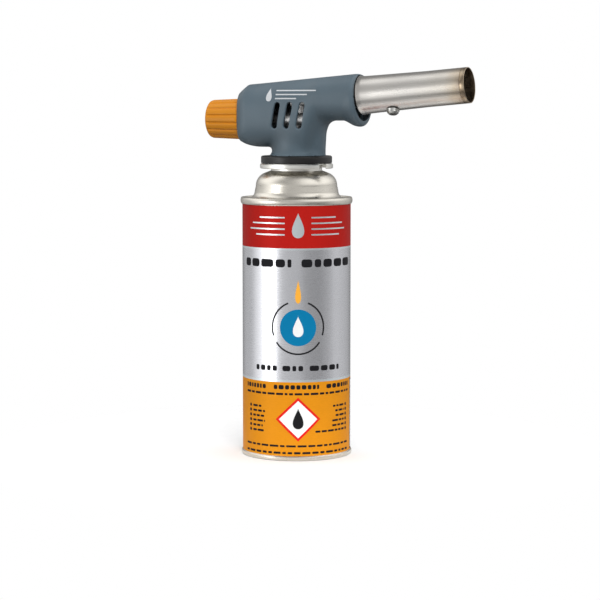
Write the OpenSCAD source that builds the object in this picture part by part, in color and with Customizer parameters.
// Clip-on gas torch head on a bayonet butane cartridge.
// The origin is on the cartridge axis at the plane it stands on.
// +Z is up and +X is the way the flame tube points.

/* [Cartridge] */
// Diameter of the cartridge body
can_d = 66; // [64:0.5:68]
// Height of the top of the upper seam
can_h = 157.2; // [150:0.1:160]
// Thickness of the tinplate
sheet = 0.4; // [0.3:0.05:0.5]
// Radius of the lower seam
foot_r = 33.65; // [33.4:0.05:34]
// Radius of the upper seam
seam_r = 34.1; // [33.8:0.05:34.6]
// Radius of the collar flange
collar_r = 22.2; // [21.5:0.1:23]
// Height of the top of the collar flange
collar_z = 177.5; // [176:0.1:179]

/* [Torch head] */
// Height of the top of the black base ring
ring_z = 182.2; // [181.8:0.1:182.6]
// Radius of the black base ring
ring_r = 21.6; // [21:0.1:22]
// Wall thickness of the moulded housing
wall = 2.2; // [1.8:0.1:2.6]
// Height of the spindle and knob axis
spindle_z = 204.2; // [203.5:0.1:205]
// Height of the burner axis above the cartridge axis
burner_z = 214.7; // [214:0.1:215.5]
// Upward tilt of the burner axis, in degrees
burner_tilt = 5; // [4:0.5:6]

/* [Flame tube] */
// Distance along the burner axis to the tip
tip_s = 110.9; // [108:0.1:114]
// Outer radius at the rear of the flame tube
tube_rear_r = 11.3; // [11:0.05:11.5]
// Outer radius at the front of the flame tube
tube_front_r = 10.6; // [10.4:0.05:10.9]

/* [Control knob] */
// Radius of the knob beside the housing
knob_r = 12.5; // [12:0.1:13]
// Radius of the knob at its outer end
knob_end_r = 11.6; // [11:0.1:12]
// Distance of the knob's outer end from the cartridge axis
knob_end_x = 56.8; // [55:0.1:58]
// Number of grip grooves
knob_grooves = 16; // [12:1:20]

/* [Hidden] */
$fn = 64;
eps = 0.01;
can_r = can_d / 2;
foot_wall = 2.4;
steel_grey = [0.74, 0.74, 0.72];
tin = [0.78, 0.76, 0.70];
brass = [0.80, 0.64, 0.33];
zinc = [0.45, 0.45, 0.44];
moulded = [0.38, 0.44, 0.48];
orange = [0.83, 0.50, 0.16];
rubber = [0.10, 0.10, 0.10];

// Cartridge top
neck_r = 15.5;
collar_plate_z = collar_z - 0.8;
collar_hole_r = 10.6;
cutout_r = 12.4;
claw_count = 3;
notch_angle = -20;

// Bayonet claws
claw_angle = 26;
cutout_angle = 34;
twist_range = 35;

// Housing, from the rear face to the front collar
rear_x = -34;
mouth_x = 43.2;
mouth_r = 13.5;
mouth_drop = 1.6;
mouth_s = 37;
support_r = 12.4;
support_s = 31;
post_places = [[-25, 217], [-8, 220.5], [13.5, 189.5], [-9.2, 190.5]];
// How deep each screw head sits, measured from the joint plane
head_y = [10, 10, 5.5, 8];
post_r = 2.8;
screw_r = 1.3;
slot_x = [-7.0, 1.1, 9.3];
slot_z = 206.5;
slot_half = 6.1;
slot_r = 1.8;
through = 50;

// Needle valve, along the spindle axis
block_rear_x = -20;
seat_x = 1.0;
riser_x = 4;
fit_gap = 0.05;

// Burner train, distances along the burner axis
air_hole_s = 22;
air_hole_r = 2.4;
mixing_r = 7;
head_s = 60;
tube_rear_s = 43.4;
taper_end_s = 85;
tube_wall = 0.6;
tip_len = 3;
tube_screw_s = 63.5;
tube_screw_angle = 20;

// ---------- helpers ----------

// Points of an arc in the plane, from angle a0 to a1 in n steps
function arc(cx, cy, r, a0, a1, n) =
    [for (i = [0:n]) let (a = a0 + (a1 - a0) * i / n) [cx + r * cos(a), cy + r * sin(a)]];

function side_normal(a, b) = let (d = b - a) [d.y, -d.x] / norm(d);

function corner_normal(p, i) = let (
        last = len(p) - 1,
        before = side_normal(p[max(i - 1, 0)], p[max(i, 1)]),
        after = side_normal(p[min(i, last - 1)], p[min(i + 1, last)]),
        both = before + after
    ) both * 2 / (both * both);

// A sheet of thickness t behind the outer line p, kept on one side of the axis
function sheet_outline(p, t) =
    concat(p, [for (i = [len(p) - 1:-1:0]) let (q = p[i] - t * corner_normal(p, i)) [max(q.x, 0), q.y]]);

function sign_pow(v, e) = sign(v) * pow(abs(v), e);

// Rounded outline of half-width a and half-height b
function squircle(a, b, e = 2.8, n = 40) =
    [for (i = [0:n - 1]) let (t = 360 * i / n) [a * sign_pow(cos(t), 2 / e), b * sign_pow(sin(t), 2 / e)]];

module revolve(points, angle = 360, start = 0) {
    rotate_extrude(angle = angle, start = start) polygon(points);
}

// A ring between two radii and two heights
module ring(r_out, r_in, z0, z1) {
    difference() {
        translate([0, 0, z0]) cylinder(r = r_out, h = z1 - z0);
        translate([0, 0, z0 - 1]) cylinder(r = r_in, h = z1 - z0 + 2);
    }
}

module around(count, offset_angle = 0) {
    for (i = [0:count - 1]) rotate(offset_angle + 360 * i / count) children();
}

// Local +Z runs along the burner axis
module on_burner_axis() {
    translate([0, 0, burner_z]) rotate([0, 90 - burner_tilt, 0]) children();
}

// Local +Z runs along +X on the spindle axis
module on_spindle_axis() {
    translate([0, 0, spindle_z]) rotate([0, 90, 0]) children();
}

module o_ring(major, minor) {
    rotate_extrude() translate([major, 0]) circle(r = minor, $fn = 24);
}

// A coil spring swept along a helix about Z
module coil(r, wire_r, height, turns, steps = 16, sides = 8) {
    count = turns * steps;
    points = [
        for (i = [0:count], j = [0:sides - 1])
        let (a = 360 * i / steps, b = 360 * j / sides, q = r + wire_r * cos(b))
        [q * cos(a), q * sin(a), height * i / count + wire_r * sin(b)]
    ];
    faces = [
        [for (j = [0:sides - 1]) j],
        [for (j = [sides - 1:-1:0]) count * sides + j],
        for (i = [0:count - 1], j = [0:sides - 1])
        let (k = (j + 1) % sides)
        [i * sides + j, (i + 1) * sides + j, (i + 1) * sides + k, i * sides + k]
    ];
    polyhedron(points, faces);
}

// ---------- cartridge ----------

module can_shell() {
    color([0.80, 0.80, 0.80]) ring(can_r, can_r - sheet, 0.8, can_h - 1.4);
}

module can_base() {
    inner = can_r - sheet;
    dish = concat(
        [[inner, 0], [inner, 2.8]],
        arc(inner - 1.6, 4.6, 1.6, 0, 90, 4),
        [for (i = [1:8]) let (r = (inner - 1.6) * (1 - i / 8)) [r, 6.2 + 3 * (1 - pow(r / inner, 2))]]
    );
    color(tin) {
        revolve(sheet_outline(dish, 0.5));
        difference() {
            revolve([
                [inner - 0.5, 0.4], [inner, 0], [foot_r, 0], [foot_r, foot_wall],
                [foot_r - 0.3, 2.8], [inner - 0.5, 2.8]
            ]);
            ring(can_r, inner, 0.8, 4);
        }
    }
}

module can_dome() {
    inner = can_r - sheet;
    line = concat(
        [[inner - sheet, can_h]],
        arc(inner - sheet - 0.6, can_h - 0.1, 0.6, 0, -90, 3),
        arc(29.9, 161, 4.5, 270, 180, 8),
        arc(16.5, 164, 8.27, 0, 72, 10),
        [[15.8, 172.7], [14.9, 172.7], [14.5, 173.2]],
        arc(13.9, 173.3, 0.6, 20, 180, 4)
    );
    color(tin) {
        revolve(sheet_outline(line, sheet));
        difference() {
            revolve([
                [inner - sheet, can_h - 0.5], [inner, can_h], [seam_r - 0.5, can_h],
                [seam_r, can_h - 0.5], [seam_r, 153.8], [seam_r - 0.4, 153.2],
                [inner, 153.2]
            ]);
            ring(can_r, inner - 1, 150, can_h - 1.4);
        }
    }
}

module mounting_cup() {
    line = concat(
        [[15.1, 172.9]],
        arc(14.7, 174.5, 0.4, 0, 90, 3),
        arc(12.9, 174.7, 0.2, 90, 180, 2),
        arc(11.9, 168.6, 0.8, 0, -90, 3),
        arc(7.0, 168.6, 0.8, 270, 180, 3),
        arc(5.6, 172.4, 0.6, 0, 90, 3),
        [[2.4, 173.0]]
    );
    color(steel_grey) revolve(sheet_outline(line, sheet));
}

module cup_gasket() {
    color(rubber) ring(14.5, 13.2, 173.95, 174.45);
}

module cartridge_collar() {
    color(tin) difference() {
        union() {
            revolve([
                [collar_hole_r, collar_plate_z], [collar_r - 0.8, collar_plate_z],
                [collar_r - 0.8, 174.8], [collar_r - 0.5, 174.5], [collar_r, 174.9],
                [collar_r, collar_z - 0.7], [collar_r - 0.7, collar_z],
                [collar_hole_r, collar_z]
            ]);
            ring(neck_r, neck_r - sheet, 172.9, collar_plate_z + eps);
        }
        rotate(notch_angle) translate([19, -3.25, 170]) cube([6, 6.5, 10]);
        around(claw_count, twist_range) revolve([
            [9, collar_plate_z - 0.5], [cutout_r, collar_plate_z - 0.5],
            [cutout_r, collar_z + 1], [9, collar_z + 1]
        ], cutout_angle, -cutout_angle / 2);
    }
}

module valve_housing() {
    color("ivory") difference() {
        union() {
            translate([0, 0, 158]) cylinder(r = 4.8, h = 12.6);
            translate([0, 0, 170.6]) cylinder(r = 5.6, h = 1);
            translate([0, 0, 151]) cylinder(r = 1.9, h = 7.5);
        }
        translate([0, 0, 159]) cylinder(r = 3.5, h = 13);
        translate([0, 0, 150]) cylinder(r = 1.1, h = 10);
    }
}

module valve_spring() {
    color(steel_grey) translate([0, 0, 159.5]) coil(2.3, 0.35, 8.7, 5);
}

module valve_stem() {
    color("white") difference() {
        union() {
            translate([0, 0, 169]) cylinder(r = 1.9, h = 16.5);
            translate([0, 0, 168.6]) cylinder(r = 3.1, h = 1.2);
            translate([0, 0, 165.6]) cylinder(r = 1.5, h = 3.1);
        }
        translate([0, 0, 170.6]) cylinder(r = 0.8, h = 16);
        translate([-3, 0, 171]) rotate([0, 90, 0]) cylinder(r = 0.35, h = 6);
    }
}

module stem_gasket() {
    color(rubber) ring(5.2, 1.9, 171.6, 172.6);
}

// A rod with a thicker elbow: it hangs down, bends by an angle and runs on
module bent_rod(r, elbow_r, bend_r, bend, drop, run) {
    lap = 0.4;
    translate([0, 0, -lap]) cylinder(r = r, h = drop + lap);
    translate([bend_r, 0, 0]) rotate([90, 0, 0])
        rotate_extrude(angle = bend, start = 180) translate([bend_r, 0]) circle(r = elbow_r);
    translate([bend_r * (1 - cos(bend)), 0, -bend_r * sin(bend)])
        rotate([0, 180 - bend, 0]) translate([0, 0, -lap]) cylinder(r = r, h = run + lap);
}

module vapour_tube() {
    color("ivory") rotate(notch_angle) translate([0, 0, 149.5]) difference() {
        bent_rod(2.6, 2.75, 12, 75, 8, 14);
        bent_rod(1.9, 1.75, 12, 75, 9, 15);
    }
}

// ---------- torch head: base ----------

module lock_screw_places() {
    around(claw_count, 60) translate([13.4, 0, 0]) children();
}

module base_ring() {
    color(rubber) difference() {
        revolve(concat(
            [[7.5, ring_z - 2.3], [19.2, ring_z - 2.3], [19.2, 177.8], [ring_r, 177.8]],
            arc(ring_r - 1.2, ring_z - 1.2, 1.2, 0, 90, 5),
            [[7.5, ring_z]]
        ));
        lock_screw_places() translate([0, 0, 170]) cylinder(r = 1.5, h = 20);
    }
}

module lock_plate() {
    top = ring_z - 2.3;
    color(steel_grey) {
        difference() {
            ring(18.9, 6.8, top - 1.1, top);
            lock_screw_places() translate([0, 0, 170]) cylinder(r = 1.5, h = 20);
        }
        around(claw_count) revolve([
            [8.9, 175.2], [11.9, 175.2], [11.9, 176.3], [10.1, 176.3],
            [10.1, top - 1.1 + eps], [8.9, top - 1.1 + eps]
        ], claw_angle, -claw_angle / 2);
    }
}

module lock_plate_screws() {
    plate = ring_z - 3.4;
    color(steel_grey) lock_screw_places() difference() {
        union() {
            translate([0, 0, plate]) cylinder(r = 1.4, h = 10);
            translate([0, 0, plate - 0.95]) cylinder(r1 = 2.2, r2 = 2.5, h = 0.95);
        }
        translate([0, 0, plate - 1]) cylinder(r = 1.1, h = 0.7, $fn = 6);
    }
}

// ---------- torch head: housing ----------

// A thin slice of the barrel at x, between the heights z0 and z1
module barrel_slice(x, z0, z1, half_w) {
    translate([x, 0, (z0 + z1) / 2]) rotate([90, 0, 90])
        linear_extrude(eps) polygon(squircle(half_w, (z1 - z0) / 2));
}

module rear_barrel(inset) {
    hull() {
        barrel_slice(rear_x + inset, 190 + inset, 220.8 - inset, 13 - inset);
        barrel_slice(-31.5 + inset, 188.4 + inset, 225.1 - inset, 15.2 - inset);
        barrel_slice(-24, 187.3 + inset, 225.8 - inset, 16.2 - inset);
        barrel_slice(12, 190 + inset, 228.9 - inset, 16.4 - inset);
        barrel_slice(19.4 - inset, 203 + inset, 229.5 - inset, 16 - inset);
    }
}

module front_barrel(inset) {
    hull() {
        barrel_slice(10, 203.2 + inset, 228.7 - inset, 16 - inset);
        barrel_slice(41, 202.4 + inset, 231.3 - inset, 15.6 - inset);
    }
}

module collar_end(r, z_back, z_front) {
    on_burner_axis() translate([2.7, 0, z_back]) cylinder(r = r, h = z_front - z_back);
}

module front_collar() {
    hull() {
        collar_end(15.75, 37.5, mouth_x);
        collar_end(14.6, 35.6, mouth_x);
    }
}

module neck(inset) {
    hull() {
        translate([0, 0, ring_z]) cylinder(r = 15.6 - inset, h = eps);
        translate([0, 0, ring_z + 3]) cylinder(r = 14.8 - inset, h = eps);
        translate([0, 0, 192]) cylinder(r = 15 - inset, h = eps);
        translate([0, 0, 200]) linear_extrude(eps) polygon(squircle(17 - inset, 16.2 - inset));
    }
    hull() {
        translate([8, 0, ring_z]) linear_extrude(eps) polygon(squircle(11.4 - inset, 8.5 - inset));
        translate([8, 0, 202]) linear_extrude(eps) polygon(squircle(11.4 - inset, 12 - inset));
    }
}

// Rounds the corner where the barrel's underside meets the front of the neck
module arch_fillet() {
    difference() {
        translate([18, -9, 197]) cube([8, 18, 7]);
        translate([25.9, 0, 196.5]) rotate([90, 0, 0]) cylinder(r = 6.5, h = 40, center = true);
    }
}

module vent_slots() {
    for (x = slot_x) translate([x, 0, slot_z]) rotate([0, 10, 0]) hull() {
        for (z = [-slot_half, slot_half]) translate([0, 0, z]) rotate([90, 0, 0])
            cylinder(r = slot_r, h = through, center = true);
    }
}

// Local +Z points out of the left shell, from where each screw head sits
module at_screw_heads() {
    for (i = [0:len(post_places) - 1]) translate([post_places[i].x, head_y[i], post_places[i].y])
        rotate([-90, 0, 0]) children();
}

module posts(r) {
    for (p = post_places) translate([p.x, 0, p.y]) rotate([90, 0, 0]) cylinder(r = r, h = 40, center = true);
}

module cavity() {
    difference() {
        union() {
            rear_barrel(wall);
            front_barrel(wall);
            translate([0, 0, -1]) neck(wall);
            translate([0, 0, ring_z + wall]) cylinder(r = 6.9, h = 30);
        }
        posts(post_r);
        translate([0, 0, ring_z - 2]) lock_screw_bosses();
    }
    on_burner_axis() translate([mouth_drop, 0, mouth_s]) cylinder(r = mouth_r, h = 40);
    on_spindle_axis() translate([0, 0, -40]) cylinder(r = 3, h = 20);
}

module lock_screw_bosses() {
    lock_screw_places() cylinder(r = 3.2, h = 8);
}

module housing_solid() {
    difference() {
        union() {
            rear_barrel(0);
            front_barrel(0);
            front_collar();
            neck(0);
            arch_fillet();
        }
        cavity();
        vent_slots();
        at_screw_heads() {
            cylinder(r = 2.7, h = 20);
            translate([0, 0, -11]) cylinder(r = screw_r, h = 12);
        }
        lock_screw_places() translate([0, 0, 170]) cylinder(r = 1.4, h = 19.5);
        on_burner_axis() translate([0, 0, support_s]) cylinder(r = support_r, h = 2);
    }
}

module housing_half(side) {
    $fn = 36;
    intersection() {
        housing_solid();
        translate([-60, side > 0 ? 0 : -60, 150]) cube([130, 60, 120]);
    }
}

module housing_right() {
    color(moulded) housing_half(-1);
}

module housing_left() {
    color(moulded) housing_half(1);
}

module housing_screws() {
    color(steel_grey) at_screw_heads() difference() {
        union() {
            cylinder(r = 2.5, h = 1.6);
            translate([0, 0, -10]) cylinder(r = screw_r, h = 10.5);
        }
        translate([0, 0, 0.7]) cylinder(r = 1.2, h = 1.3, $fn = 6);
    }
}

// ---------- torch head: gas train ----------

module inlet_fitting() {
    color(brass) difference() {
        union() {
            translate([0, 0, 182.8]) cylinder(r = 6.3, h = 4.4, $fn = 6);
            translate([0, 0, 187]) cylinder(r = 3.5, h = 5);
        }
        translate([0, 0, 182]) cylinder(r = 4.2, h = 4.6);
        translate([0, 0, 186]) cylinder(r = 1.2, h = 7);
        translate([0, 0, 189.5]) cylinder(r = 2.4, h = 3);
    }
}

module inlet_seal() {
    color(rubber) difference() {
        translate([0, 0, 183.4]) cylinder(r = 4.2, h = 3.2);
        translate([0, 0, 183]) cylinder(r = 1.9 + fit_gap, h = 2.8);
        translate([0, 0, 184]) cylinder(r = 1.0, h = 3);
    }
}

module inlet_filter() {
    color([0.72, 0.58, 0.36]) translate([0, 0, 189.5]) cylinder(r = 2.4, h = 2);
}

module valve_block() {
    color(zinc) difference() {
        union() {
            translate([0, 0, 187.2]) cylinder(r = 6.2, h = 13);
            on_spindle_axis() translate([0, 0, block_rear_x]) cylinder(r = 5.6, h = 29);
            translate([riser_x, 0, spindle_z]) cylinder(r = 4.2, h = 11);
            on_burner_axis() translate([0, 0, -2]) cylinder(r = 4.9, h = 11);
        }
        translate([0, 0, 186]) cylinder(r = 3.5, h = 6);
        translate([0, 0, 186]) cylinder(r = 1.5, h = spindle_z - 186);
        on_spindle_axis() {
            translate([0, 0, block_rear_x - 1]) cylinder(r = 4.2, h = 6.5);
            translate([0, 0, block_rear_x]) cylinder(r = 2.6, h = seat_x - block_rear_x);
            translate([0, 0, 0]) cylinder(r = 0.55, h = riser_x);
        }
        translate([riser_x, 0, spindle_z]) cylinder(r = 1.2, h = 11);
        on_burner_axis() translate([0, 0, 1.5]) cylinder(r = 2.8, h = 9);
    }
}

module gland_nut() {
    color(brass) on_spindle_axis() difference() {
        union() {
            translate([0, 0, block_rear_x - 5]) cylinder(r = 6, h = 5, $fn = 6);
            translate([0, 0, block_rear_x - eps]) cylinder(r = 4.2, h = 4);
        }
        translate([0, 0, block_rear_x - 6]) cylinder(r = 2 + fit_gap, h = 12);
        translate([0, 0, block_rear_x + 0.5]) cylinder(r = 3.3, h = 5);
    }
}

module gland_o_ring() {
    color(rubber) on_spindle_axis() translate([0, 0, block_rear_x + 1.7]) o_ring(2.67, 0.6);
}

module jet_holder() {
    color(brass) on_burner_axis() difference() {
        union() {
            translate([0, 0, 3]) cylinder(r = 2.8, h = 6.5);
            translate([0, 0, 9]) cylinder(r = 5.5, h = 3, $fn = 6);
            translate([0, 0, 11]) cylinder(r = 4, h = 5);
        }
        translate([0, 0, 2]) cylinder(r = 1.2, h = 15);
        translate([0, 0, 13]) cylinder(r = 2, h = 4);
    }
}

module gas_jet() {
    color(brass) on_burner_axis() difference() {
        union() {
            translate([0, 0, 13]) cylinder(r = 2, h = 4);
            translate([0, 0, 17]) cylinder(r1 = 2, r2 = 1, h = 1.5);
        }
        translate([0, 0, 12]) cylinder(r = 1, h = 5);
        translate([0, 0, 16]) cylinder(r = 0.2, h = 4);
    }
}

module mixing_tube() {
    color(steel_grey) on_burner_axis() difference() {
        translate([0, 0, 12]) cylinder(r = mixing_r, h = head_s + 6);
        translate([0, 0, 13.5]) cylinder(r = mixing_r - 0.8, h = head_s + 6);
        translate([0, 0, 11]) cylinder(r = 4, h = 4);
        for (a = [45, 135]) translate([0, 0, air_hole_s]) rotate([90, 0, a])
            cylinder(r = air_hole_r, h = 20, center = true);
    }
}

module support_washer() {
    color(steel_grey) on_burner_axis() ring(support_r, mixing_r, support_s, support_s + 2);
}

module burner_head() {
    color(brass) on_burner_axis() difference() {
        ring(10.1, mixing_r, head_s, head_s + 12);
        for (i = [0:7]) rotate(45 * i) translate([8.55, 0, head_s - 1]) cylinder(r = 0.8, h = 14);
        tube_screw_place() cylinder(r = 1.5, h = 20, center = true);
    }
}

module flame_holder() {
    color([0.45, 0.36, 0.28]) on_burner_axis() difference() {
        translate([0, 0, head_s + 12]) cylinder(r = 9.6, h = 3);
        translate([0, 0, head_s + 11]) cylinder(r = mixing_r, h = 7);
    }
    color([0.45, 0.36, 0.28]) on_burner_axis() difference() {
        translate([0, 0, head_s + 18]) cylinder(r = mixing_r, h = 1.5);
        for (i = [0:7]) rotate(45 * i) translate([4.6, 0, head_s + 17]) cylinder(r = 1, h = 4);
        translate([0, 0, head_s + 17]) cylinder(r = 1.8, h = 4);
    }
}

// Local +Z points out of the tube, where the screw goes in
module tube_screw_place() {
    translate([0, 0, tube_screw_s]) rotate([0, 90, 0]) rotate([tube_screw_angle, 0, 0])
        translate([0, 0, 10]) children();
}

module flame_tube() {
    end_s = tip_s - tip_len;
    color(steel_grey) on_burner_axis() difference() {
        revolve([
            [tube_rear_r - tube_wall, tube_rear_s], [tube_rear_r + 0.3, tube_rear_s],
            [tube_rear_r + 0.4, tube_rear_s + 0.5], [tube_rear_r + 0.3, tube_rear_s + 1],
            [tube_rear_r, tube_rear_s + 1.4], [tube_front_r, taper_end_s],
            [tube_front_r, end_s], [tube_front_r - tube_wall, end_s],
            [tube_front_r - tube_wall, taper_end_s]
        ]);
        tube_screw_place() cylinder(r = 1.5, h = 20, center = true);
    }
}

module tip_ring() {
    color([0.45, 0.40, 0.36]) on_burner_axis() revolve([
        [tube_front_r - tube_wall, tip_s - tip_len], [tube_front_r, tip_s - tip_len],
        [tube_front_r, tip_s - 0.5], [tube_front_r - 0.3, tip_s],
        [tube_front_r - tube_wall, tip_s]
    ]);
}

module tube_screw() {
    color(steel_grey) on_burner_axis() tube_screw_place() difference() {
        union() {
            translate([0, 0, -2.2]) cylinder(r = 1.5, h = 3.4);
            translate([0, 0, 1.1]) cylinder(r = 3.9, h = 0.6);
            translate([0, 0, 1.65]) cylinder(r = 3.5, h = 1.2);
            translate([0, 0, 2.85]) cylinder(r1 = 3.5, r2 = 2.5, h = 0.9);
        }
        for (a = [0, 90]) rotate(a) translate([-2.2, -0.45, 2.6]) cube([4.4, 0.9, 3]);
    }
}

// ---------- control knob and needle ----------

module control_knob() {
    front = -rear_x + 0.4;
    len = knob_end_x - front;
    color(orange) translate([0, 0, spindle_z]) rotate([0, -90, 0]) difference() {
        revolve(concat(
            [[4, front + 1], [10.6, front + 1], [10.9, front], [knob_r, front]],
            arc(knob_end_r - 2.2, knob_end_x - 2.4, 2.2, 5, 80, 5),
            [[6.2, knob_end_x], [0, knob_end_x], [0, front + 1]]
        ));
        for (i = [0:knob_grooves - 1]) rotate(360 * i / knob_grooves)
            translate([knob_r + 0.35, 0, front - 1]) rotate([0, -atan((knob_r - knob_end_r) / len), 0])
                cylinder(r = 1, h = len + 4, $fn = 16);
        difference() {
            translate([0, 0, front - 1]) cylinder(r = 9.8, h = len - 4);
            translate([0, 0, front - 2]) cylinder(r = 4.2, h = len);
        }
        translate([0, 0, front - 1]) cylinder(r = 2, h = 18.6);
        translate([0, 0, front + 10]) cylinder(r = 1.2, h = 20);
        translate([0, 0, knob_end_x - 2.6]) cylinder(r = 3, h = 4);
        translate([0, 0, knob_end_x - 1]) cylinder(r = 6, h = 4);
    }
}

module knob_cap() {
    color(orange) translate([0, 0, spindle_z]) rotate([0, -90, 0]) revolve([
        [0, knob_end_x - 1], [6, knob_end_x - 1], [6, knob_end_x],
        [5, knob_end_x + 0.3], [0, knob_end_x + 0.4]
    ]);
}

module knob_screw() {
    color(steel_grey) translate([0, 0, spindle_z]) rotate([0, -90, 0]) difference() {
        union() {
            translate([0, 0, 44]) cylinder(r = 1.2, h = 11);
            translate([0, 0, knob_end_x - 2.6]) cylinder(r = 2.7, h = 1.5);
        }
        translate([0, 0, knob_end_x - 1.6]) cylinder(r = 1.1, h = 2, $fn = 6);
    }
}

module spindle() {
    color(steel_grey) on_spindle_axis() difference() {
        union() {
            translate([0, 0, -51.8]) cylinder(r = 2, h = 38);
            translate([0, 0, -15.6]) cylinder(r = 3.2, h = 1.1);
            translate([0, 0, -14.6]) cylinder(r = 2.2, h = 8.2);
        }
        translate([0, 0, -52]) cylinder(r = 1.2, h = 8.2);
        translate([0, 0, -13.5]) cylinder(r = 1.2, h = 8);
    }
}

module needle() {
    color(steel_grey) on_spindle_axis() {
        translate([0, 0, -12]) cylinder(r = 1.2 - fit_gap, h = 7.5);
        translate([0, 0, -5]) cylinder(r = 2.6 - fit_gap, h = 3.2);
        translate([0, 0, -1.85]) cylinder(r1 = 2, r2 = 1.6, h = 0.86);
        translate([0, 0, -1]) cylinder(r1 = 1.6, r2 = 0.17, h = 2.6);
    }
}

can_shell();
can_base();
can_dome();
mounting_cup();
cup_gasket();
cartridge_collar();
valve_housing();
valve_spring();
valve_stem();
stem_gasket();
vapour_tube();
base_ring();
lock_plate();
lock_plate_screws();
housing_right();
housing_left();
housing_screws();
inlet_fitting();
inlet_seal();
inlet_filter();
valve_block();
gland_nut();
gland_o_ring();
jet_holder();
gas_jet();
mixing_tube();
support_washer();
burner_head();
flame_holder();
flame_tube();
tip_ring();
tube_screw();
control_knob();
knob_cap();
knob_screw();
spindle();
needle();
